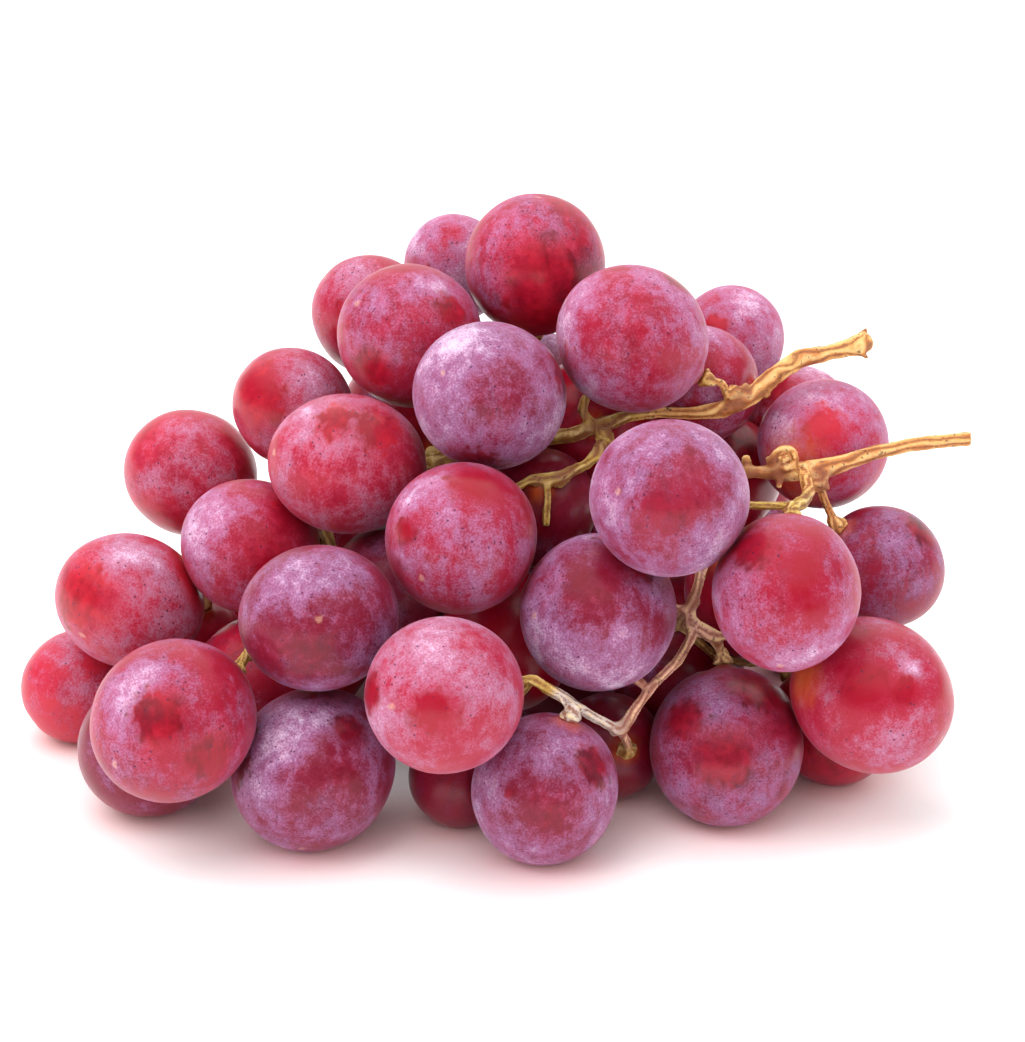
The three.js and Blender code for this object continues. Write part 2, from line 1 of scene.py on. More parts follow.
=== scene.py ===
# %% [markdown]
# # A bunch of red table grapes
#
# Round berries with a powdery bloom sit on a branched stem with two cut stalks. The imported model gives
# every berry and the stem as a plain solid with flat facets. This lesson gives each of them a fine
# surface and a finish, and leaves them in their places.

# %% Load the solids
import json
import math
import random

import bmesh
import bpy
import numpy as np
from mathutils import Matrix, Vector, noise


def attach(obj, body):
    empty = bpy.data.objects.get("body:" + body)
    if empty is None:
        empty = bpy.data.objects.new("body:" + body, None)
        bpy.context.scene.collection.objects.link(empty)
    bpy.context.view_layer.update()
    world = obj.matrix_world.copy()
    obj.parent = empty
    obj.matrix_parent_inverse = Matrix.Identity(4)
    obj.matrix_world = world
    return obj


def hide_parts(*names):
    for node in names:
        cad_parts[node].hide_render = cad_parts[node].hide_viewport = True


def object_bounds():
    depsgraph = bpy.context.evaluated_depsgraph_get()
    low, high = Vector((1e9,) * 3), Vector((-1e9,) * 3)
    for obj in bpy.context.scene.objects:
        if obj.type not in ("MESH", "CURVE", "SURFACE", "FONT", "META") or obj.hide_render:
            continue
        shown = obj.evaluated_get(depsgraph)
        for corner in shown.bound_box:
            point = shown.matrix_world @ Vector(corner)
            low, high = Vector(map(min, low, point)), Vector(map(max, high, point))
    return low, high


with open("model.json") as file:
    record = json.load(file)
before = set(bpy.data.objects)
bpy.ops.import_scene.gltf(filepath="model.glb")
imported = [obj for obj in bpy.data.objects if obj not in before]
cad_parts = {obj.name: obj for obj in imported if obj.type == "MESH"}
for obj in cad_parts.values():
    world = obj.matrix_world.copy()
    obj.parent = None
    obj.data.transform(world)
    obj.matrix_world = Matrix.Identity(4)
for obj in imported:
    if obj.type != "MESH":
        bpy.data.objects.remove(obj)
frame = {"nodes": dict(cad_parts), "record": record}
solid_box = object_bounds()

MM = 0.001
print("solids:", len(frame["nodes"]))

# %% [markdown]
# ## The camera
#
# The bunch is seen from the front and a little from above. A camera can be turned by three angles, but it
# is easier to aim it: pick the point to look at, step back from it against the line of sight, and let
# `to_track_quat` turn the camera that way. Keeping the three directions of the view as vectors pays off
# later, when marks are placed on the berries as a person sees them.

# %% Aim the camera
AIM = Vector((4.1, 5.1, 41.7)) * MM
LOOK_DOWN = math.radians(20)
LOOK_FROM = 510 * MM
LENS = 100.4
RIGHT = Vector((1, 0, 0))
UP = Vector((0, math.sin(LOOK_DOWN), math.cos(LOOK_DOWN)))
AWAY = Vector((0, math.cos(LOOK_DOWN), -math.sin(LOOK_DOWN)))

camera = bpy.data.objects.new("camera", bpy.data.cameras.new("camera"))
bpy.context.scene.collection.objects.link(camera)
bpy.context.scene.camera = camera
camera.data.lens = LENS
camera.data.dof.use_dof = False
camera.location = AIM - AWAY * LOOK_FROM
camera.rotation_mode = "QUATERNION"
camera.rotation_quaternion = AWAY.to_track_quat("-Z", "Y")
print("camera at", [round(value, 3) for value in camera.location])


# %% [markdown]
# ## Places in the view
#
# A place on the stem is given as it looks from the camera, in millimetres to the right of the middle,
# upwards and back. This helper turns it into a place in the room.

# %% Turn a sighted place into a place
def sighted(across, up, back):
    spread = 1 + back * MM / LOOK_FROM
    return AIM + (RIGHT * across + UP * up) * MM * spread + AWAY * back * MM


def seen_direction(right, up, back):
    return (RIGHT * right + UP * up + AWAY * back).normalized()


print("the middle of the view is", [round(value, 4) for value in sighted(0, 0, 0)])

# %% [markdown]
# ## Sums of sockets
#
# A finish is a web of nodes. Wiring every sum by hand hides the thought behind it, so two small classes
# let a finish be written as sums: `Socket` stands for one output and knows how to be added, taken away
# and multiplied, and `Finish.node` makes any node from its settings and its inputs.

# %% Write finishes as sums
class Socket:
    def __init__(self, finish, plug):
        self.finish = finish
        self.plug = plug

    def sum(self, operation, *terms):
        return self.finish.node("ShaderNodeMath", {"operation": operation}, dict(enumerate(terms)))

    def __add__(self, other):
        return self.sum("ADD", self, other)

    def __sub__(self, other):
        return self.sum("SUBTRACT", self, other)

    def __rsub__(self, other):
        return self.sum("SUBTRACT", other, self)

    def __mul__(self, other):
        return self.sum("MULTIPLY", self, other)

    __radd__ = __add__
    __rmul__ = __mul__


class Finish:
    def __init__(self, owner):
        self.owner = owner
        owner.use_nodes = True
        self.tree = owner.node_tree
        self.tree.nodes.clear()

    def node(self, kind, settings=None, sockets=None, output=0):
        made = self.tree.nodes.new(kind)
        for key, value in (settings or {}).items():
            setattr(made, key, value)
        for key, value in (sockets or {}).items():
            if isinstance(value, Socket):
                self.tree.links.new(value.plug, made.inputs[key])
            else:
                made.inputs[key].default_value = value
        return Socket(self, made.outputs[output]) if made.outputs else None

    def own(self, name):
        return self.node("ShaderNodeAttribute", {"attribute_name": name}, output="Fac")

    def cloud(self, place, size, detail=2.0, warp=0.0):
        sockets = {"Vector": place, "Scale": 1 / (size * MM), "Detail": detail, "Distortion": warp}
        return self.node("ShaderNodeTexNoise", sockets=sockets, output="Fac")

    def step(self, value, low, high):
        sockets = {"Value": value, "From Min": low, "From Max": high}
        return self.node("ShaderNodeMapRange", {"interpolation_type": "SMOOTHSTEP"}, sockets)

    def blend(self, share, first, second):
        return self.node("ShaderNodeMix", {"data_type": "RGBA"}, {0: share, 6: first, 7: second}, 2)


def colour(red, green, blue):
    def linear(value):
        value /= 255
        return value / 12.92 if value <= 0.04045 else ((value + 0.055) / 1.055) ** 2.4

    return (linear(red), linear(green), linear(blue), 1)


print("mid grey is", round(colour(128, 128, 128)[0], 3))

# %% [markdown]
# ## Floor and light
#
# The bunch lies on a white table in a bright studio. Soft light reaches it from all sides, but what a shiny
# skin mirrors is a darker room: dim at eye level, brighter overhead, with a bright backdrop behind. So the
# world below has two faces. Rays that mirror see the room, and all others see an even glow. That is why the
# middle of a berry shows its own deep red, while its rim catches a thin pale line. Two wide suns give the
# light a direction. They are kept out of reflections, because a grape that mirrors them looks like glass.
# The table also gets a painted shadow: an Ambient Occlusion node tells how far the fruit above hides each
# spot of the table, and the table turns from white to rosy by it, a painted shade for light passed through
# red fruit.

# %% Lay the floor
FLOOR_REACH = 6.0
WHITE = (0.9, 0.89, 0.89, 1)
# The rosy colour of the painted shadow on the table.
ROSY_PAINTED_SHADOW = (0.88, 0.5, 0.5, 1)
SHADE_REACH = 14 * MM


def table_finish():
    finish = Finish(bpy.data.materials.new("white_table"))
    shade = finish.node("ShaderNodeAmbientOcclusion", {"samples": 1}, {"Distance": SHADE_REACH}, "AO")
    # Painted shadow: the table turns from white to rosy where the fruit above hides it.
    tint = finish.blend(shade, ROSY_PAINTED_SHADOW, WHITE)
    matt = {"Base Color": tint, "Roughness": 1.0, "Specular IOR Level": 0.0}
    shader = finish.node("ShaderNodeBsdfPrincipled", sockets=matt)
    finish.node("ShaderNodeOutputMaterial", sockets={"Surface": shader})
    return finish.owner


floor_mesh = bmesh.new()
bmesh.ops.create_grid(floor_mesh, x_segments=1, y_segments=1, size=FLOOR_REACH)
floor = bpy.data.objects.new("floor", bpy.data.meshes.new("floor"))
floor_mesh.to_mesh(floor.data)
floor_mesh.free()
floor.data.materials.append(table_finish())
bpy.context.scene.collection.objects.link(floor)
print("floor laid")

# %% Light the room
OVERHEAD = 1.3
EYE_LEVEL = 0.05
BACKDROP = 1.0
TENT = 1.3
room = Finish(bpy.data.worlds.new("studio"))
bpy.context.scene.world = room.owner
direction = room.node("ShaderNodeTexCoord", output="Generated")
height = room.node("ShaderNodeSeparateXYZ", sockets={"Vector": direction}, output="Z")
depth = room.node("ShaderNodeSeparateXYZ", sockets={"Vector": direction}, output="Y")
brightness = EYE_LEVEL + room.step(height, 0.4, 0.8) * (OVERHEAD - EYE_LEVEL)
brightness = brightness + room.step(depth, 0.3, 0.8) * BACKDROP
mirrored = room.node("ShaderNodeLightPath", output="Is Glossy Ray")
brightness = TENT + mirrored * (brightness - TENT)
sky = room.node("ShaderNodeBackground", sockets={"Color": (1, 1, 1, 1), "Strength": brightness})
room.node("ShaderNodeOutputWorld", sockets={"Surface": sky})
bpy.context.scene.view_settings.view_transform = "Standard"
bpy.context.scene.view_settings.look = "None"


def wide_sun(name, towards, width, strength):
    lamp = bpy.data.lights.new(name, "SUN")
    lamp.angle = math.radians(width)
    lamp.energy = strength
    holder = bpy.data.objects.new(name, lamp)
    bpy.context.scene.collection.objects.link(holder)
    holder.rotation_mode = "QUATERNION"
    holder.rotation_quaternion = (-towards).to_track_quat("-Z", "Y")
    holder.visible_glossy = False
    print(name, "is", width, "degrees wide")


wide_sun("key_light", Vector((-0.38, -0.2, 0.85)), 50, 1.6)
wide_sun("front_light", Vector((-0.2, -1.0, 0.3)), 90, 1.5)

# %% [markdown]
# ## The grape's skin
#
# A red grape has a thin, tight skin over clear pulp. Under it the red varies from orange to deep wine.
# On it lies the bloom, a thin wax powder that looks lilac, thicker in some places and rubbed off in
# others, where the skin shines. It could be painted, but noise of several sizes does it for every berry
# at once. Values that belong to one berry or one spot of it are kept on the mesh: `tone` says how far the
# berry has turned to orange, `bloom` how much powder lies there, the rub value where it was wiped off and
# where bare red skin is a painted shade, near the neighbours and under berries above, `blush` where the
# skin has a warm glow, mostly round the stem end, and `scar` how near the dry dot at the other end is.

# %% Pick the tints of the skins
SKINS = {
    "skin_crimson": {
        "deep": colour(98, 0, 14),
        "ripe": colour(144, 4, 30),
        "light": colour(174, 20, 44),
        "haze": colour(158, 46, 78),
        "veil_and_highlight": colour(164, 104, 142),
    },
    "skin_rose": {
        "deep": colour(130, 1, 20),
        "ripe": colour(150, 5, 34),
        "light": colour(178, 26, 44),
        "haze": colour(172, 52, 84),
        "veil_and_highlight": colour(172, 112, 142),
    },
    "skin_plum": {
        "deep": colour(72, 2, 14),
        "ripe": colour(110, 5, 26),
        "light": colour(140, 16, 40),
        "haze": colour(132, 44, 76),
        "veil_and_highlight": colour(148, 98, 138),
    },
}
# The palest powder; where the veils at the upper left pile it up, it is partly a painted highlight.
DUST_AND_HIGHLIGHT = colour(214, 188, 214)
STEM_END = colour(196, 92, 34)
STEM_RING = colour(150, 130, 50)
SCAR_PALE = colour(214, 168, 140)
SCAR_DARK = colour(92, 44, 40)
DOT = colour(66, 22, 56)
SHEEN = colour(236, 206, 232)
print("skins:", sorted(SKINS))

# %% [markdown]
# ## From pulp to powder
#
# The recipe goes from the inside out: flesh, wax, dots, the stem end and the scar. Noise of five sizes
# is shared by all of them, from clouds over half a berry down to single grains of powder, so that a red
# patch in the flesh and a bare patch in the wax belong together. Each mask is a smooth step over a sum.
# Skin that has lost its powder is smoother and keeps its clear coat, so `bloom` also drives both.

# %% Mix the skin
CLOUD = 12
DRIFT = 5.0
STROKE = 1.6
MOTTLE = 1.3
GRAIN = 0.32
CELL_OF_DOT = 1.5 * MM
ALONG_BERRY = {"Rotation": (0.6, 0.3, 0.0), "Scale": (1.0, 1.0, 0.45)}


def grape_skin(name):
    tints = SKINS[name]
    finish = Finish(bpy.data.materials.new(name))
    place = finish.node("ShaderNodeTexCoord", output="Object")
    drawn = finish.node("ShaderNodeMapping", sockets={"Vector": place, **ALONG_BERRY})
    clouds = finish.cloud(place, CLOUD, 1.0, 0.4)
    drifts = finish.cloud(place, DRIFT, 3.0, 0.3)
    strokes = finish.cloud(drawn, STROKE, 3.0, 0.3)
    mottle = finish.cloud(place, MOTTLE, 4.0)
    grain = finish.cloud(place, GRAIN, 0.0)

    turning = finish.own("tone") + (drifts - 0.5) * 2.0 + (mottle - 0.5) * 1.8 + (grain - 0.5) * 0.4
    flesh = finish.blend(finish.step(turning, 0.1, 1.1), tints["ripe"], tints["light"])
    flesh = finish.blend(finish.step(clouds + (strokes - 0.5) * 0.8, 0.44, 0.8) * 0.85, flesh, tints["deep"])

    edge = (strokes - 0.5) * 1.5 + (drifts - 0.5) * 1.3 + (mottle - 0.5) * 1.1 + (grain - 0.5) * 0.15
    # Bare skin where the bloom is wiped off; near the neighbours and under berries above, the bare red is a
    # painted shade.
    wiped_and_shaded = finish.step(finish.own("rub_and_shade") + edge, -0.3, 0.4)
    cover = finish.own("bloom") + (clouds - 0.5) * 1.2 + (drifts - 0.5) * 1.3
    cover = cover + (strokes - 0.5) * 0.8 + (mottle - 0.5) * 0.7 + (grain - 0.5) * 0.5
    bloom = finish.step(cover, -0.3, 1.3) * (1 - wiped_and_shaded * 0.96) * (0.8 + finish.step(grain, 0.2, 0.7) * 0.2)
    wax = finish.blend(finish.step(cover, 0.35, 1.1), tints["haze"], tints["veil_and_highlight"])
    # The palest powder, partly a painted highlight at the upper left, where the veils pile it up.
    wax = finish.blend(finish.step(cover, 1.0, 1.9), wax, DUST_AND_HIGHLIGHT)
    skin = finish.blend(bloom * 0.95, flesh, wax)

    cells = {"Vector": place, "Scale": 1 / CELL_OF_DOT}
    dots = 1 - finish.step(finish.node("ShaderNodeTexVoronoi", sockets=cells), 0.08, 0.17)
    skin = finish.blend(dots * finish.step(clouds + drifts, 0.85, 1.05) * 0.85, skin, DOT)

    blush = finish.own("blush") + (strokes - 0.5) * 0.5
    skin = finish.blend(finish.step(blush, 0.3, 1.0) * 0.8, skin, STEM_END)
    skin = finish.blend(finish.step(blush, 0.85, 1.05) * 0.7, skin, STEM_RING)
    scar = finish.own("scar") + (mottle - 0.5) * 1.6
    skin = finish.blend(finish.step(scar, 0.4, 0.9) * 0.45, skin, SCAR_PALE)
    skin = finish.blend(finish.step(finish.own("scar"), 0.9, 0.97) * 0.8, skin, SCAR_DARK)

    rough = 0.36 + bloom * 0.24 + (mottle - 0.5) * 0.12
    bump = finish.node(
        "ShaderNodeBump", sockets={"Strength": 0.3, "Distance": 0.05 * MM, "Height": grain}, output="Normal"
    )
    shader = finish.node(
        "ShaderNodeBsdfPrincipled",
        sockets={
            "Base Color": skin,
            "Roughness": rough,
            "IOR": 1.38,
            "Subsurface Weight": 0.85,
            "Subsurface Radius": (1.0, 0.14, 0.12),
            "Subsurface Scale": 5 * MM,
            "Specular IOR Level": 0.3,
            "Coat Weight": 0.6 - bloom * 0.55,
            "Coat Roughness": 0.22,
            "Coat IOR": 1.4,
            "Sheen Weight": 0.12,
            "Sheen Roughness": 0.2,
            "Sheen Tint": SHEEN,
            "Normal": bump,
        },
    )
    finish.node("ShaderNodeOutputMaterial", sockets={"Surface": shader})
    return finish.owner


skins = {name: grape_skin(name) for name in SKINS}
print("skins mixed:", len(skins))

# %% [markdown]
# ## Reading a berry's form
#
# Each solid is a ball of flat facets with its corners on an egg-shaped surface, apart from the corners
# that a neighbour or the table pushed in. A surface of that kind is a sum of squares and products of x,
# y and z, so it can be found by least squares. Corners that lie well inside it are left out, and the
# fit is made again. That needs no list of sizes, and a berry stays exactly where its solid is.

# %% Fit an egg shape to a solid
CORNERS_OUT = 1.008
FIT_SCALE = 12 * MM
FIT_PULL = 0.02
FIT_LIMITS = (0.3, 0.3, 0.12, 0.12, 0.06, 0.06)


def merged_copy(node):
    mesh = bmesh.new()
    mesh.from_mesh(frame["nodes"][node].data)
    bmesh.ops.remove_doubles(mesh, verts=mesh.verts, dist=0.002 * MM)
    return mesh


def corners(node):
    mesh = merged_copy(node)
    places = np.array([vertex.co[:] for vertex in mesh.verts])
    mesh.free()
    return places


class Form:
    """An egg shape: its centre, and the matrix that says how far off its surface is in a direction."""

    def __init__(self, places):
        middle = places.mean(0)
        near = (places - middle) / FIT_SCALE
        keep = np.ones(len(near), bool)
        for limit in FIT_LIMITS:
            x, y, z = near[keep].T
            terms = np.stack([x * x, y * y, z * z, 2 * x * y, 2 * x * z, 2 * y * z, x, y, z], 1)
            ball = np.array([1, 1, 1, 0, 0, 0])
            terms = np.vstack([terms, FIT_PULL * np.eye(9)[:6]])
            goal = np.concatenate([np.ones(len(x)), FIT_PULL * ball])
            a, b, c, d, e, f, *line = np.linalg.lstsq(terms, goal, rcond=None)[0]
            squares = np.array([[a, d, e], [d, b, f], [e, f, c]])
            centre = -0.5 * np.linalg.solve(squares, line)
            squares /= 1 + centre @ squares @ centre
            off = near - centre
            reach = np.linalg.norm(off, axis=1)
            surface = reach / np.sqrt(np.einsum("ij,jk,ik->i", off, squares, off))
            self.dents = (reach - surface) * FIT_SCALE
            keep = self.dents > -limit * MM
        self.places = places
        self.centre = middle + centre * FIT_SCALE
        self.squares = squares / (FIT_SCALE / CORNERS_OUT) ** 2

    def towards(self, directions):
        return 1 / np.sqrt(np.einsum("...j,jk,...k->...", directions, self.squares, directions))


berries = {name: Form(corners(name)) for name in sorted(frame["nodes"]) if name.startswith("berry")}
widths = [2 * float(form.towards(np.array([1.0, 0, 0]))) / MM for form in berries.values()]
print("berries:", len(berries), "widths from", round(min(widths), 1), "to", round(max(widths), 1), "mm")

# %% [markdown]
# ## Which way the stem end points
#
# The stem holds every berry by a small flared cup. Corners of the stem that lie close above a berry's
# surface, all within one small patch, belong to that cup, so the patch with most of them is the stem end.

# %% Find the stem end of each berry
CUP_LOW = 0.2 * MM
CUP_HIGH = 0.9 * MM
CUP_PATCH = 5.2 * MM
CUP_PIT = 0.7 * MM
stem_corners = corners("stem")


def stem_end(form):
    off = stem_corners - form.centre
    reach = np.linalg.norm(off, axis=1)
    height = reach - form.towards(off / reach[:, None])
    near = off[(height > CUP_LOW) & (height < CUP_HIGH)]
    if not len(near):
        return np.array([0.0, 0, 1])
    company = np.linalg.norm(near[:, None] - near[None], axis=2) < CUP_PATCH
    best = company.sum(1).argmax()
    patch = near[np.linalg.norm(near - near[best], axis=1) < CUP_PATCH].mean(0)
    pits = form.places[form.dents < -CUP_PIT] - form.centre
    for pit in pits:
        if np.linalg.norm(pit - patch) < CUP_PATCH:
            patch = pit
    return patch / np.linalg.norm(patch)


for form in berries.values():
    form.pole = stem_end(form)
print("berry_16's stem end points", [round(float(value), 2) for value in berries["berry_16"].pole])

# %% [markdown]
# ## Where berries press on each other
#
# Berries in a bunch grow against each other and flatten a little where they meet. The meeting plane of
# two egg shapes lies half way between their surfaces. A smooth limit eases the skin into that plane, so
# that the flat has a soft edge.

# %% Find the planes between neighbours
NEIGHBOUR_REACH = 40 * MM
NEIGHBOUR_SPACE = 2 * MM
SKIN_GAP = 0.02 * MM
SOFT_EDGE = 0.2 * MM


def pressing_planes(form):
    planes = []
    for other in berries.values():
        normal = other.centre - form.centre
        distance = np.linalg.norm(normal)
        if other is form or distance > NEIGHBOUR_REACH:
            continue
        normal = normal / distance
        own = float(form.towards(normal))
        spare = distance - own - float(other.towards(normal))
        if spare < NEIGHBOUR_SPACE:
            planes.append((normal, own + spare / 2 - SKIN_GAP))
    return planes


def eased(values, limit, softness):
    room = (limit - values) / softness
    return limit - softness * np.logaddexp(0, room)


print("berry_16 presses on", len(pressing_planes(berries["berry_16"])), "neighbours")

# %% [markdown]
# ## How each berry looks
#
# Grapes of one bunch differ: some have turned orange, some are almost plum, and each has its own marks.
# For the berries at the front the tone, the amount of bloom and the marks are listed one by one. A mark has
# a kind, a place as seen from the front, in parts of the berry's half width to the right and up, and a
# size. A veil adds powder and a "patch" more of it, "thin" takes some away, a wipe rubs it off, and a
# "glow" has turned orange. Veils at the upper left are partly a painted highlight, and the wipes at the tops
# of berries 15 and 26 are a painted shade from the berries above. The others get marks by a seeded draw, so
# that every run gives the same bunch. Berries inside the bunch get a darker tone with less powder, a painted
# shade for the dark gaps between the berries in front.

# %% Set the marks
LOOKS = {
    1: (0.6, 0.45, [("veil_and_highlight", -0.8, -0.4, 0.5), ("veil_and_highlight", -0.5, 0.7, 0.5), ("wipe_and_shade", 0.3, -0.5, 0.75)]),
    2: (1.1, 1.0, [("veil_and_highlight", 0.6, 0.2, 0.5), ("thin", 0.0, 0.3, 0.4)]),
    3: (0.0, 0.55, [("veil_and_highlight", -0.2, 0.6, 0.45), ("wipe_and_shade", -0.2, -0.4, 0.6)]),
    4: (0.3, 0.6, [("veil_and_highlight", 0.45, 0.75, 0.5), ("wipe_and_shade", 0.6, 0.3, 0.25), ("wipe_and_shade", -0.5, -0.5, 0.3)]),
    5: (0.4, 1.0, [("veil_and_highlight", -0.45, 0.6, 0.5), ("thin", 0.1, -0.1, 0.5), ("wipe_and_shade", 0.95, 0.3, 0.35)]),
    6: (0.4, 0.9, [("thin", -0.05, -0.1, 0.65), ("wipe_and_shade", 0.6, 0.75, 0.22), ("veil_and_highlight", -0.85, 0.3, 0.5)]),
    7: (1.2, 0.95, [("veil_and_highlight", 0.25, 0.65, 0.35), ("wipe_and_shade", -0.3, 0.2, 0.25)]),
    8: (0.3, 0.6, [("veil_and_highlight", 0.2, 0.8, 0.4)]),
    9: (1.3, 0.85, [("veil_and_highlight", -0.7, 0.2, 0.3), ("wipe_and_shade", -0.1, 0.3, 0.4), ("veil_and_highlight", 0.1, 0.7, 0.5),
                    ("glow", -0.55, -0.35, 0.8), ("glow", -0.4, -0.75, 0.6)]),
    10: (2.4, 0.6, [("wipe_and_shade", 0.6, 0.6, 0.3)]),
    11: (0.3, 0.6, [("wipe_and_shade", -0.5, 0.2, 0.6), ("veil_and_highlight", 0.3, 0.45, 0.5)]),
    12: (0.5, 0.75, [("veil_and_highlight", -0.5, 0.7, 0.35), ("wipe_and_shade", 0.45, 0.5, 0.4), ("wipe_and_shade", -0.1, 0.6, 0.3)]),
    13: (0.6, 0.45, [("veil_and_highlight", 0.1, 0.7, 0.4)]),
    14: (0.4, 0.65, [("veil_and_highlight", -0.5, 0.5, 0.6), ("thin", 0.4, -0.1, 0.5)]),
    # The wipe at the top of berry 15 is a painted shade where berry 5 above shades it.
    15: (-0.3, 0.65, [("veil_and_highlight", -0.5, 0.6, 0.45), ("wipe_and_shade", 0.2, 0.75, 0.35), ("wipe_and_shade", -0.7, 0.1, 0.2)]),
    16: (0.9, 1.05, [("thin", 0.1, -0.05, 0.6), ("thin", -0.2, -0.25, 0.35)]),
    17: (0.3, 0.68, [("veil_and_highlight", -0.3, 0.6, 0.5), ("thin", -0.1, -0.4, 0.5)]),
    18: (0.8, 0.7, [("veil_and_highlight", 0.1, 0.7, 0.5), ("wipe_and_shade", -0.6, 0.1, 0.5)]),
    19: (1.6, 0.4, [("veil_and_highlight", -0.3, 0.6, 0.5)]),
    20: (0.2, 0.5, [("veil_and_highlight", -0.25, 0.65, 0.35), ("veil_and_highlight", -0.6, 0.2, 0.4), ("wipe_and_shade", 0.5, -0.4, 0.3),
                    ("wipe_and_shade", -0.05, 0.1, 0.35)]),
    21: (-0.2, 0.5, []),
    22: (0.3, 0.85, [("veil_and_highlight", -0.3, 0.3, 0.5), ("wipe_and_shade", 0.5, 0.55, 0.22), ("thin", 0.15, -0.1, 0.5)]),
    23: (-0.6, 0.7, [("wipe_and_shade", -0.1, -0.1, 0.35), ("veil_and_highlight", -0.1, 0.5, 0.5), ("wipe_and_shade", -0.9, 0.1, 0.25)]),
    24: (0.2, 0.85, [("veil_and_highlight", 0.1, -0.6, 0.5), ("thin", -0.2, 0.3, 0.5)]),
    25: (-0.8, 0.78, [("thin", 0.1, 0.1, 0.6), ("wipe_and_shade", -0.5, 0.6, 0.35), ("veil_and_highlight", 0.5, -0.7, 0.5)]),
    # The wipe at the top of berry 26 is a painted shade where the berries above shade it.
    26: (0.8, 0.7, [("wipe_and_shade", -0.6, 0.4, 0.28), ("wipe_and_shade", -0.1, -0.1, 0.4), ("wipe_and_shade", 0.4, 0.75, 0.4)]),
    27: (-0.8, 0.42, [("wipe_and_shade", -0.2, 0.15, 0.35), ("patch", 0.42, 0.38, 0.16), ("wipe_and_shade", 0.3, 0.1, 0.2),
                      ("veil_and_highlight", 0.2, -0.7, 0.5), ("glow", -0.9, 0.2, 0.5)]),
    28: (0.5, 0.95, [("wipe_and_shade", 0.65, 0.35, 0.3), ("wipe_and_shade", -0.45, 0.05, 0.12), ("thin", 0.1, -0.2, 0.4)]),
    29: (-0.5, 0.1, []),
    30: (-0.5, 0.1, []),
    31: (0.3, 0.2, [("wipe_and_shade", 0.0, 0.0, 0.8)]),
}
# Painted shade: berries inside the bunch get a darker tone and less powder, for the dark gaps between
# berries.
INSIDE_WITH_PAINTED_SHADE = range(32, 44)


def drawn_look(number):
    draw = random.Random(number)
    marks = []
    for kind, count in (("veil_and_highlight", 3), ("wipe_and_shade", 3), ("thin", 2)):
        for _ in range(count):
            direction = Vector([draw.gauss(0, 1) for _ in range(3)]).normalized()
            marks.append((kind, direction, draw.uniform(0.25, 0.6)))
    tone, bloom = draw.uniform(0.2, 0.7), draw.uniform(0.4, 0.85)
    # Painted shade for the berries inside the bunch.
    if number in INSIDE_WITH_PAINTED_SHADE:
        return tone - 0.6, bloom - 0.5, marks
    return tone, bloom, marks


def look_of(number):
    tone, bloom, marks = drawn_look(number)
    if number not in LOOKS:
        return tone, bloom, marks
    behind = [mark for mark in marks if mark[1].dot(AWAY) > 0.3]
    tone, bloom, front = LOOKS[number]
    for kind, right, up, size in front:
        depth = math.sqrt(max(0.0, 1 - right * right - up * up))
        behind.append((kind, seen_direction(right, up, -depth), size))
    return tone, bloom, behind


print("berries with marks set by hand:", len(LOOKS))

# %% [markdown]
# ## One berry
#
# A berry starts as a ball whose poles lie at the stem end and at the scar, because the small forms sit
# there and the ball has most of its vertices there. Every vertex is moved out to the egg shape. Then come
# the shallow groove round the stem's cup, the dimple with the scar, slight unevenness, the flats towards
# the neighbours and the flat on the table. What the finish needs to know is written on the vertices.

# %% Model a berry
ROUND = 64
RINGS = 42
LUMP = 0.12 * MM
LUMPS_PER_METRE = 300
CUP_RISE = 0.55 * MM
CUP_REACH = 1.7 * MM
GROOVE_DEPTH = 0.35 * MM
GROOVE_PLACE = 3.1 * MM
GROOVE_WIDTH = 1.1 * MM
DIMPLE_DEPTH = 0.22 * MM
DIMPLE_REACH = 1.5 * MM
SCAR_RISE = 0.12 * MM
SCAR_REACH = 0.5 * MM
SCAR_STAIN = 0.9 * MM
BLUSH_REACH = 4 * MM
TABLE_EDGE = 0.1 * MM
# How far from a neighbour the bloom is taken off: partly rubbed by the touch, partly a painted shade in the
# crevice.
RUB_AND_SHADE_NEAR_NEIGHBOUR = 2.6 * MM


def bell(values, width):
    return np.exp(-((values / width) ** 2))


def berry_heights(form, directions, poleward):
    reach = form.towards(directions)
    from_stem = np.arccos(np.clip(poleward, -1, 1)) * reach
    from_scar = np.arccos(np.clip(-poleward, -1, 1)) * reach
    shift = Vector(form.centre) * LUMPS_PER_METRE
    lumps = np.array([noise.noise(Vector(direction) * 1.7 + shift) for direction in directions])
    heights = reach + LUMP * (lumps - 0.35)
    heights += CUP_RISE * bell(from_stem, CUP_REACH)
    heights -= GROOVE_DEPTH * bell(from_stem - GROOVE_PLACE, GROOVE_WIDTH)
    heights -= DIMPLE_DEPTH * bell(from_scar, DIMPLE_REACH) - SCAR_RISE * bell(from_scar, SCAR_REACH)
    return heights, from_stem, from_scar


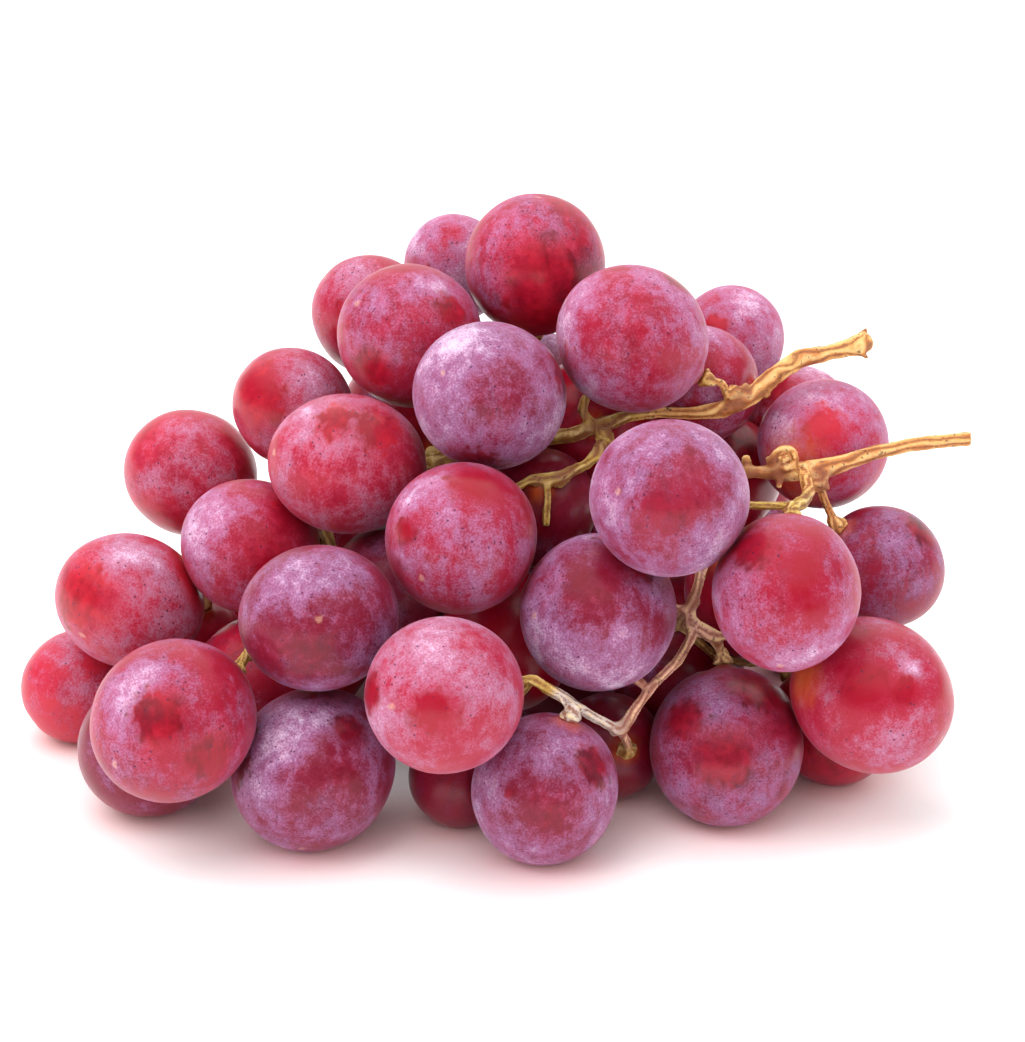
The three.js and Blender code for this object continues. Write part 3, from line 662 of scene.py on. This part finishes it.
def berry_piece(name, form):
    number = int(name.split("_")[1])
    tone, bloom, marks = look_of(number)
    mesh = bmesh.new()
    bmesh.ops.create_uvsphere(mesh, u_segments=ROUND, v_segments=RINGS, radius=1)
    turn = Vector(form.pole).to_track_quat("Z", "Y").to_matrix()
    bmesh.ops.rotate(mesh, verts=mesh.verts, cent=(0, 0, 0), matrix=turn)
    directions = np.array([vertex.co.normalized()[:] for vertex in mesh.verts])
    heights, from_stem, from_scar = berry_heights(form, directions, directions @ form.pole)
    places = directions * heights[:, None]
    # Near a neighbour the bloom is taken off: partly rubbed by the touch, partly a painted shade in the
    # crevice between berries.
    rubbed_and_shaded_by_neighbour = np.zeros(len(places))
    for normal, limit in pressing_planes(form):
        along = places @ normal
        rubbed_and_shaded_by_neighbour = np.maximum(rubbed_and_shaded_by_neighbour, np.clip(1 - (limit - along) / RUB_AND_SHADE_NEAR_NEIGHBOUR, -1, 1))
        places += normal * (eased(along, limit, SOFT_EDGE) - along)[:, None]
    places += form.centre
    places[:, 2] = -eased(-places[:, 2], 0, TABLE_EDGE)

    powder = np.full(len(places), bloom)
    wiped_and_shaded = rubbed_and_shaded_by_neighbour - 0.6
    glow = np.zeros(len(places))
    for kind, direction, size in marks:
        angle = np.arccos(np.clip(directions @ np.array(direction[:]), -1, 1))
        # A veil adds powder; at the upper left its pale powder is partly a painted highlight.
        if kind == "veil_and_highlight":
            powder += 0.5 * bell(angle, size)
            wiped_and_shaded -= 0.5 * bell(angle, size)
        if kind == "patch":
            powder += 0.8 * bell(angle, size)
            wiped_and_shaded -= 1.5 * bell(angle, size)
        if kind == "thin":
            powder -= 0.55 * bell(angle, size)
        # A wipe rubs the powder off; on the tops of berries 15 and 26 it is a painted shade.
        if kind == "wipe_and_shade":
            wiped_and_shaded = np.maximum(wiped_and_shaded, np.clip(1 - angle / size, -1, 1))
        if kind == "glow":
            glow = np.maximum(glow, 0.8 * bell(angle, size))
    values = {
        "tone": np.full(len(places), tone),
        "bloom": powder,
        "rub_and_shade": wiped_and_shaded,
        "blush": np.maximum(0.8 * bell(from_stem, BLUSH_REACH), glow),
        "scar": bell(from_scar, SCAR_STAIN),
    }
    layers = {key: mesh.verts.layers.float.new(key) for key in values}
    for vertex, place in zip(mesh.verts, places):
        vertex.co = place
        for key, layer in layers.items():
            vertex[layer] = values[key][vertex.index]
    for face in mesh.faces:
        face.smooth = True
    return mesh


def finished(mesh, name, node, finish):
    for vertex in mesh.verts:
        vertex.co = [min(max(at, low), high) for at, low, high in zip(vertex.co, *solid_box)]
    data = bpy.data.meshes.new(name)
    mesh.to_mesh(data)
    mesh.free()
    data.materials.append(finish)
    piece = bpy.data.objects.new(name, data)
    bpy.context.scene.collection.objects.link(piece)
    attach(piece, "root")
    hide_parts(node)
    return piece


slots = {part["node"]: part["material_slot"] for part in frame["record"]["subparts"]}
for name, form in berries.items():
    slot = slots[name]
    finished(berry_piece(name, form), name.replace("berry", "grape"), name, skins[slot])
print("berries modelled:", len(berries))

# %% [markdown]
# ## The stem
#
# The stem is woody outside the bunch and greener inside. Its solid is a net of straight-sided tubes. A
# voxel remesh melts tubes, knots and stubs into one skin, smoothing rounds it, and ridges are raised along
# each twig. Small stubs and torn ends are added as balls and cones before the remesh, so that they melt in.

# %% Add stubs and knobs
STUBS = [
    # from: across, up, back and radius, to: across, up, back and radius
    ((60.0, 30.6, -3), 1.9, (61.4, 31.3, -3.4), 2.0),
    ((60.4, 32.0, -3.2), 0.7, (61.9, 33.6, -3.2), 0.45),
    ((60.8, 29.8, -4.2), 0.7, (62.3, 28.7, -4.6), 0.4),
    ((61.4, 30.6, -3.6), 0.8, (62.8, 30.8, -3.8), 0.5),
    ((48.2, 27.0, -4), 1.6, (50.6, 28.6, -4), 1.5),
    ((52.0, 28.9, -4.4), 1.2, (54.6, 29.8, -4), 0.8),
    ((39.0, 21.6, -5.8), 1.3, (38.8, 22.8, -6.8), 1.25),
    ((40.2, 22.9, -5.8), 0.8, (40.8, 24.0, -6), 0.5),
    ((46.2, 8.8, -9.6), 1.3, (46.0, 10.2, -10), 1.2),
    ((46.9, 8.2, -9.8), 0.8, (46.8, 6.2, -10.2), 0.5),
    ((45.6, 9.8, -10.2), 0.7, (44.8, 11.0, -10.4), 0.5),
    ((53.4, 8.0, -9.6), 1.3, (53.3, 6.4, -10.2), 1.35),
    ((54.6, 7.0, -10), 0.9, (55.2, 5.8, -10.4), 0.6),
    ((41.4, 8.8, -9.2), 0.9, (41.0, 10.8, -9.6), 0.8),
    ((14.2, 16.4, -6.4), 1.0, (12.2, 19.4, -7), 0.8),
    ((12.2, 19.4, -7), 0.8, (12.8, 21.4, -7.2), 0.9),
    ((16.6, 15.2, -8), 1.2, (17.0, 13.0, -9.8), 1.0),
    ((15.4, 12.6, -12.2), 1.2, (15.6, 11.0, -12.8), 1.0),
    ((9.0, 7.8, -15.6), 1.3, (8.0, 7.0, -15.8), 1.25),
    ((4.2, 6.6, -15.4), 1.1, (3.4, 7.2, -15.8), 0.9),
    ((32.0, -14.0, -20.6), 1.0, (31.2, -14.8, -21), 0.9),
    ((22.6, -28.4, -29.4), 0.9, (21.4, -27.6, -29.8), 0.8),
    ((19.0, -36.2, -32.4), 1.2, (18.2, -36.8, -32.6), 1.1),
]
COIL = Vector((47.8, 11.0, -11.2))
COIL_RADIUS = 1.9
COIL_TUBE = 0.65
COIL_STEPS = 7
COIL_START = 200
COIL_SWEEP = 290


def stub(mesh, start, start_radius, end, end_radius):
    low = sighted(*start)
    high = sighted(*end)
    span = high - low
    turn = span.to_track_quat("Z", "Y").to_matrix().to_4x4()
    for place, radius in ((low, start_radius), (high, end_radius)):
        bmesh.ops.create_icosphere(
            mesh, subdivisions=2, radius=radius * MM, matrix=Matrix.Translation(place)
        )
    bmesh.ops.create_cone(
        mesh, cap_ends=True, segments=12, radius1=start_radius * MM, radius2=end_radius * MM,
        depth=span.length, matrix=Matrix.Translation((low + high) / 2) @ turn,
    )


stem_mesh = merged_copy("stem")
for start, start_radius, end, end_radius in STUBS:
    stub(stem_mesh, start, start_radius, end, end_radius)
turns = [math.radians(COIL_START - COIL_SWEEP * step / COIL_STEPS) for step in range(COIL_STEPS + 1)]
coil = [COIL + Vector((math.cos(turn), math.sin(turn), 0)) * COIL_RADIUS for turn in turns]
for start, end in zip(coil, coil[1:]):
    stub(stem_mesh, start, COIL_TUBE, end, COIL_TUBE)
print("stem vertices before the remesh:", len(stem_mesh.verts))

# %% Melt the stem into one skin
VOXEL = 0.37 * MM
SMOOTHING = 4
rough_stem = bpy.data.objects.new("rough_stem", bpy.data.meshes.new("rough_stem"))
bpy.context.scene.collection.objects.link(rough_stem)
stem_mesh.to_mesh(rough_stem.data)
stem_mesh.free()
melt = rough_stem.modifiers.new("melt", "REMESH")
melt.mode = "VOXEL"
melt.voxel_size = VOXEL
melted = bpy.data.meshes.new_from_object(
    rough_stem.evaluated_get(bpy.context.evaluated_depsgraph_get())
)
bpy.data.objects.remove(rough_stem)
stem_mesh = bmesh.new()
stem_mesh.from_mesh(melted)
for _ in range(SMOOTHING):
    bmesh.ops.smooth_vert(
        stem_mesh, verts=stem_mesh.verts, factor=0.5, use_axis_x=True, use_axis_y=True, use_axis_z=True
    )
stem_mesh.normal_update()
print("stem vertices after it:", len(stem_mesh.verts))

# %% [markdown]
# ## Ridges along the twigs
#
# A drying stem shrinks into ridges that run along it. The direction of a twig can be read from its
# surface: the normals round a tube all lie square to the tube. So the normals near each vertex are summed
# as a matrix, and the direction that they avoid is the twig's. With the twig's middle, that gives the
# angle round it. Ridges are waves over that angle, and fibres are shorter waves, on thick stalks only.

# %% Raise the ridges
CELL = 2.4 * MM


def gathered(places, values):
    """Means of values over a soft neighbourhood of each place, by way of a coarse grid."""
    low = places.min(0) - 2 * CELL
    at = (places - low) / CELL
    base = np.floor(at).astype(int)
    share = at - base
    counts = base.max(0) + 4
    grid = np.zeros((*counts, values.shape[1] + 1))
    filled = np.concatenate([values, np.ones((len(values), 1))], 1)
    corners_of_cell = [(i, j, k) for i in (0, 1) for j in (0, 1) for k in (0, 1)]

    def weights(corner):
        return np.prod(np.where(np.array(corner), share, 1 - share), axis=1)[:, None]

    for corner in corners_of_cell:
        np.add.at(grid, tuple((base + corner).T), filled * weights(corner))
    found = sum(grid[tuple((base + corner).T)] * weights(corner) for corner in corners_of_cell)
    return found[:, :-1] / found[:, -1:]


places = np.array([vertex.co[:] for vertex in stem_mesh.verts])
normals = np.array([vertex.normal[:] for vertex in stem_mesh.verts])
tensors = np.einsum("ij,ik->ijk", normals, normals).reshape(-1, 9)
gathered_all = gathered(places, np.concatenate([tensors, places], 1))
spreads, axes = np.linalg.eigh(gathered_all[:, :9].reshape(-1, 3, 3))
along = axes[:, :, 0]
along *= np.where(along @ np.array([0.8, 0.3, 0.5]) < 0, -1, 1)[:, None]
off = places - gathered_all[:, 9:]
off -= along * (off * along).sum(1)[:, None]
first = np.cross(along, np.array([0.1, 1.0, 0.2]))
first /= np.linalg.norm(first, axis=1)[:, None]
second = np.cross(along, first)
angle = np.arctan2((off * second).sum(1), (off * first).sum(1))
RIDGES = 5
FIBRES = 13
waver = np.array([noise.noise(Vector(place) * 260) for place in places])
knots = np.array([noise.noise(Vector(place) * 900) for place in places])
width = np.linalg.norm(off, axis=1)
ridge = np.cos(RIDGES * angle + 2.2 * waver)
fibre = np.cos(FIBRES * angle + 5 * waver) * np.clip(width / MM - 0.6, 0, 1)
raised = 0.03 * MM + np.clip(0.11 * width, 0, 0.22 * MM) * ridge + 0.04 * MM * fibre + 0.06 * MM * knots
print("ridges raised on", len(places), "vertices")

# %% [markdown]
# ## Bark
#
# The cut stalks have dried to a golden tan, the side stem low in the middle is a pinkish brown with a
# grey stretch, and what lies inside the bunch is still yellow-green. Each tint has its own value on the
# mesh, set by how near a vertex is to listed spots.

# %% Colour the bark by place
SPOTS = {
    "tan": [((60, 31, -3), 15), ((45, 24, -5), 13), ((33, 19, -5), 9), ((70, 13, -6), 16), ((54, 8, -9), 12),
            ((52, 2, -14), 8)],
    "pink": [((33, -12, -18), 9), ((31, -20, -23), 8), ((24, -30, -29), 9), ((20, -36, -31), 6)],
    "grey": [((13, -34, -34), 6)],
}
KNOT_REACH = 2.6
KNOTS = [(start, KNOT_REACH) for start, _, _, _ in STUBS[6:]]
STALK_CUT = [((80.6, 14.5, -5), 0.9)]


def nearness(spots):
    value = np.zeros(len(places))
    for place, reach in spots:
        distance = np.linalg.norm(places - np.array(sighted(*place)[:]), axis=1)
        value = np.maximum(value, np.clip(1.6 - distance / (reach * MM), 0, 1))
    return value


STEM_LOWEST = 0.1 * MM
stem_values = {name: nearness(spots) for name, spots in SPOTS.items()}
stem_values["ridge"] = 0.6 * ridge + 0.4 * fibre
stem_values["knot"] = nearness(KNOTS)
stem_values["cut"] = nearness(STALK_CUT)
stem_layers = {key: stem_mesh.verts.layers.float.new(key) for key in stem_values}
for vertex in stem_mesh.verts:
    vertex.co += vertex.normal * raised[vertex.index]
    vertex.co.z = max(vertex.co.z, STEM_LOWEST)
    for key, layer in stem_layers.items():
        vertex[layer] = stem_values[key][vertex.index]
for face in stem_mesh.faces:
    face.smooth = True
print("tints:", sorted(stem_values))

# %% Mix the bark
GREEN, GREEN_AGED = colour(188, 152, 66), colour(138, 92, 42)
TAN, TAN_AGED = colour(214, 156, 90), colour(184, 112, 54)
PINK, PINK_AGED = colour(206, 152, 136), colour(158, 102, 88)
GREY = colour(196, 182, 174)
# Pale straw on the crests and brown in the furrows are partly streaks of the bark, partly a painted
# highlight and a painted shade.
STRAW_AND_CREST_HIGHLIGHT = colour(236, 206, 140)
FURROW_BROWN_AND_SHADE = colour(124, 64, 30)
KNOT = colour(134, 74, 56)
SPECK = colour(84, 42, 24)
CUT_WOOD = colour(222, 176, 104)


def stem_bark():
    finish = Finish(bpy.data.materials.new("stalk_bark"))
    place = finish.node("ShaderNodeTexCoord", output="Object")
    drifts = finish.cloud(place, 5.0, 3.0, 0.5)
    specks = finish.cloud(place, 0.9, 3.0)
    fibres = finish.cloud(place, 0.35, 2.0)
    green = finish.blend(finish.step(drifts, 0.35, 0.65), GREEN, GREEN_AGED)
    tan = finish.blend(finish.step(drifts + (specks - 0.5) * 0.6, 0.38, 0.62), TAN, TAN_AGED)
    pink = finish.blend(finish.step(drifts, 0.35, 0.65), PINK, PINK_AGED)
    bark = finish.blend(finish.step(finish.own("tan") + (specks - 0.5) * 0.6, 0.2, 0.8), green, tan)
    bark = finish.blend(finish.own("pink"), bark, pink)
    bark = finish.blend(finish.step(finish.own("grey") + (specks - 0.5) * 0.5, 0.3, 0.6), bark, GREY)
    # Pale crests: partly pale streaks, partly a painted highlight along the ridges.
    crest_highlight = finish.step(finish.own("ridge") + (specks - 0.5) * 1.4, 0.1, 0.7)
    bark = finish.blend(crest_highlight * 0.65, bark, STRAW_AND_CREST_HIGHLIGHT)
    # Dark furrows: partly brown streaks, partly a painted shade in the grooves.
    furrow_and_shade = finish.step(finish.own("ridge") + (specks - 0.5) * 1.8, 0.0, -0.6)
    bark = finish.blend(furrow_and_shade * 0.8, bark, FURROW_BROWN_AND_SHADE)
    knot = finish.step(finish.own("knot") + (specks - 0.5) * 1.4, 0.5, 1.1)
    bark = finish.blend(knot * 0.6, bark, KNOT)
    bark = finish.blend(finish.step(specks, 0.6, 0.68) * 0.75, bark, SPECK)
    bark = finish.blend(finish.own("cut"), bark, CUT_WOOD)
    height = finish.own("ridge") * 0.2 + specks * 0.8 + fibres * 0.5
    bump = finish.node(
        "ShaderNodeBump", sockets={"Strength": 0.6, "Distance": 0.2 * MM, "Height": height}, output="Normal"
    )
    shader = finish.node(
        "ShaderNodeBsdfPrincipled",
        sockets={
            "Base Color": bark,
            "Roughness": 0.58 + (specks - 0.5) * 0.3,
            "Subsurface Weight": 0.12,
            "Subsurface Radius": (1.0, 0.6, 0.3),
            "Subsurface Scale": 0.8 * MM,
            "Normal": bump,
        },
    )
    finish.node("ShaderNodeOutputMaterial", sockets={"Surface": shader})
    return finish.owner


finished(stem_mesh, "stem_bark", "stem", stem_bark())
print("stem finished")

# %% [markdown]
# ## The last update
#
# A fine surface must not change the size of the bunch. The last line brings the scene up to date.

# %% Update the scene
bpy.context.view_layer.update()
